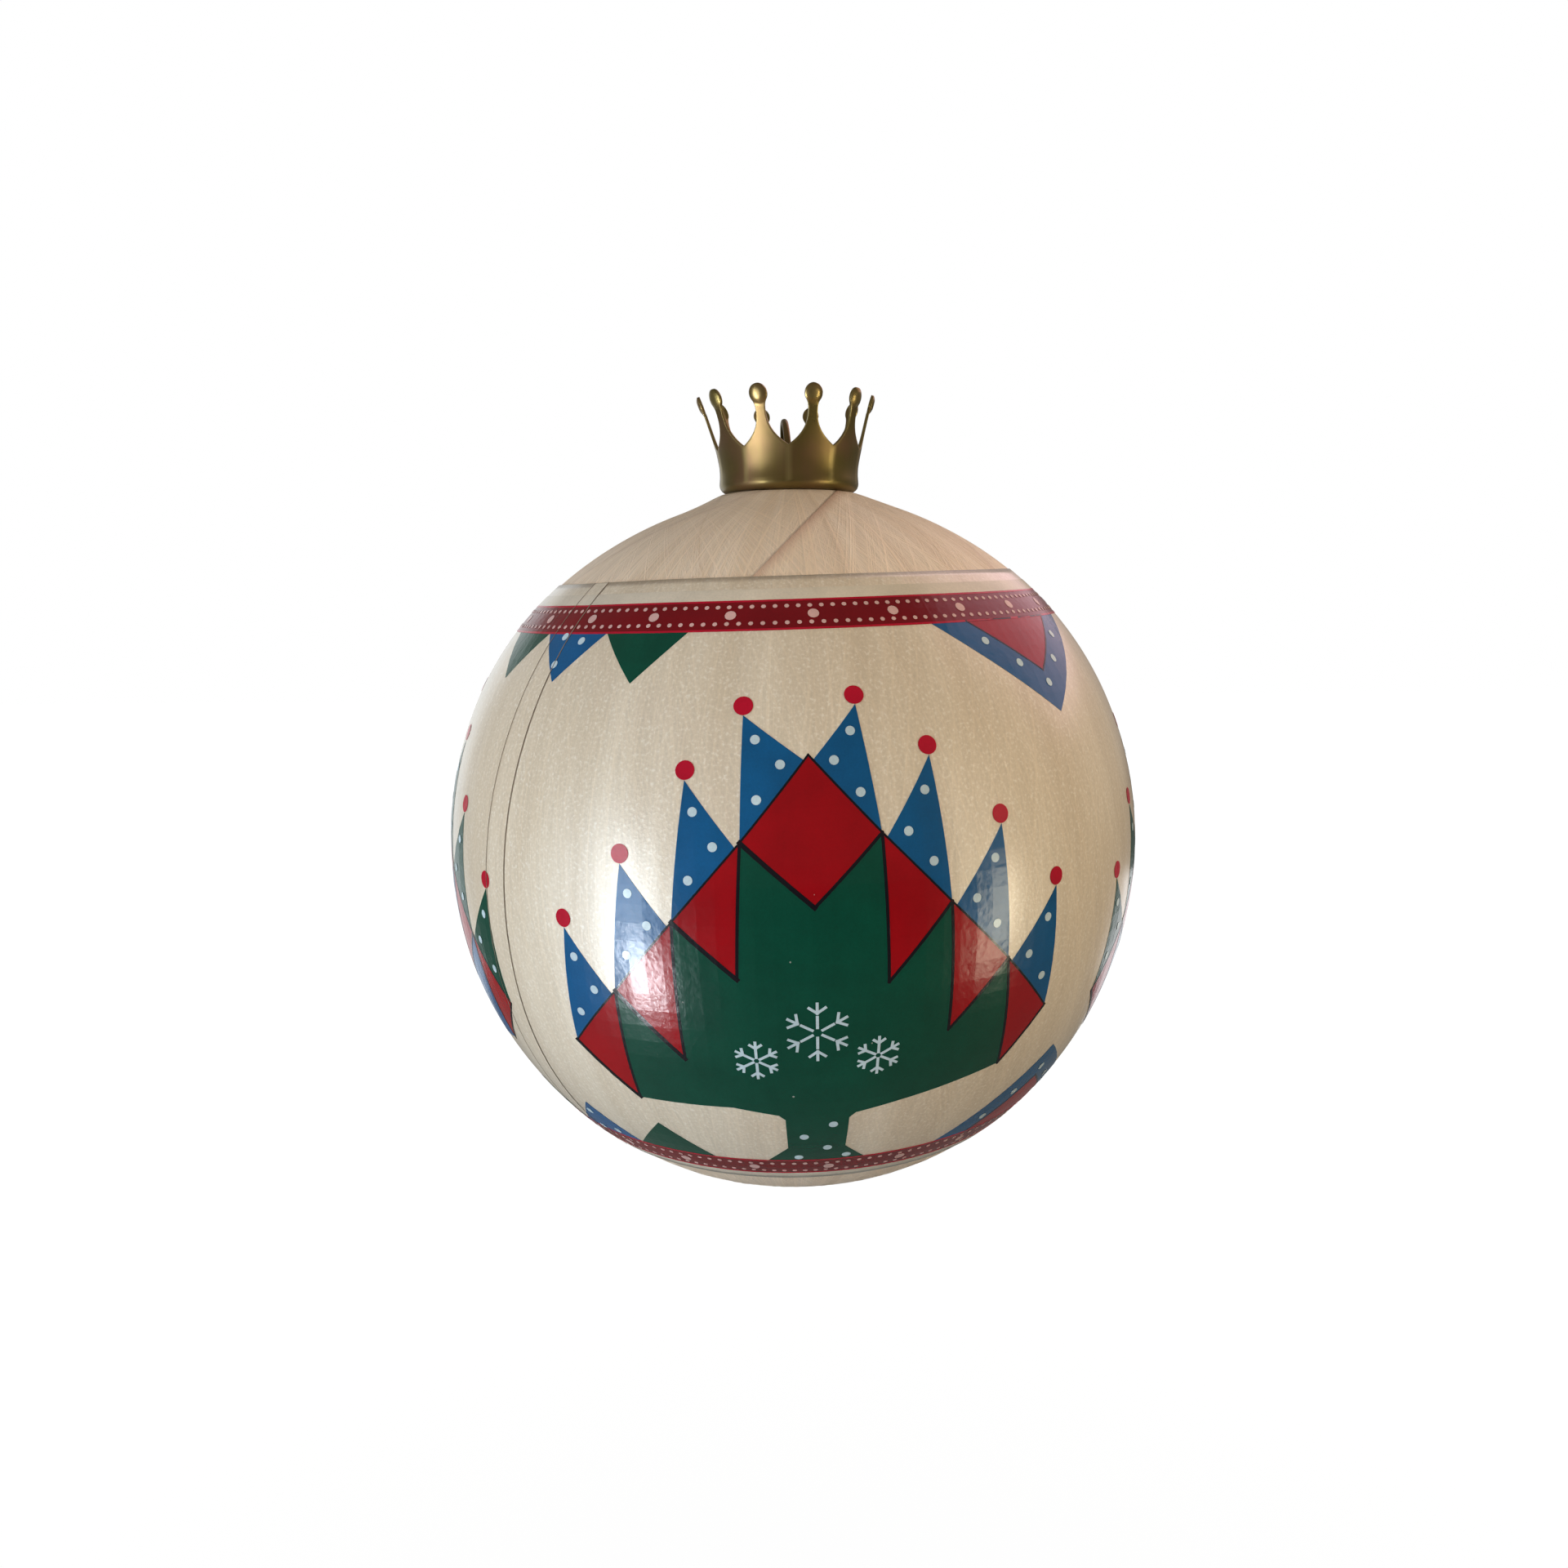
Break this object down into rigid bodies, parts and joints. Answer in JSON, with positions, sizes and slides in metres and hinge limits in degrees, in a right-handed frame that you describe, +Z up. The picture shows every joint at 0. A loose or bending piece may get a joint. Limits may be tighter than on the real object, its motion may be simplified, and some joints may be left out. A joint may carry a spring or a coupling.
{
  "type": "christmas ball ornament",
  "caption": "Satin-thread-wound ball ornament with a printed film sleeve, a pointed brass crown cap and a wire hanging eye.",
  "frame": {"origin": "top of the opening of the wire eye, where a hook bears", "axes": "+Z up along the hanger's legs and the ball's pole, -Y towards the front motif, the eye's opening runs along X"},
  "size_m": [0.083, 0.083, 0.0956],
  "materials": {
    "foam": "matte",
    "satin_thread": "satin",
    "film": "gloss",
    "crown_brass": "satin",
    "wire_brass": "satin"
  },
  "bodies": {
    "ball": {"foam_core": "foam", "satin_winding": "satin_thread", "printed_sleeve": "film"},
    "crown": {"crown_cap": "crown_brass"},
    "hanger": {"hanger_wire": "wire_brass"}
  },
  "joints": [
    {"name": "crown_turn", "type": "hinge", "parent": "ball", "child": "crown", "pos_m": [0, 0, -0.0079], "axis": [0, 0, 1], "continuous": true},
    {"name": "hanger_pull", "type": "slide", "parent": "ball", "child": "hanger", "axis": [0, 0, 1], "range_m": [0, 0.028]}
  ]
}
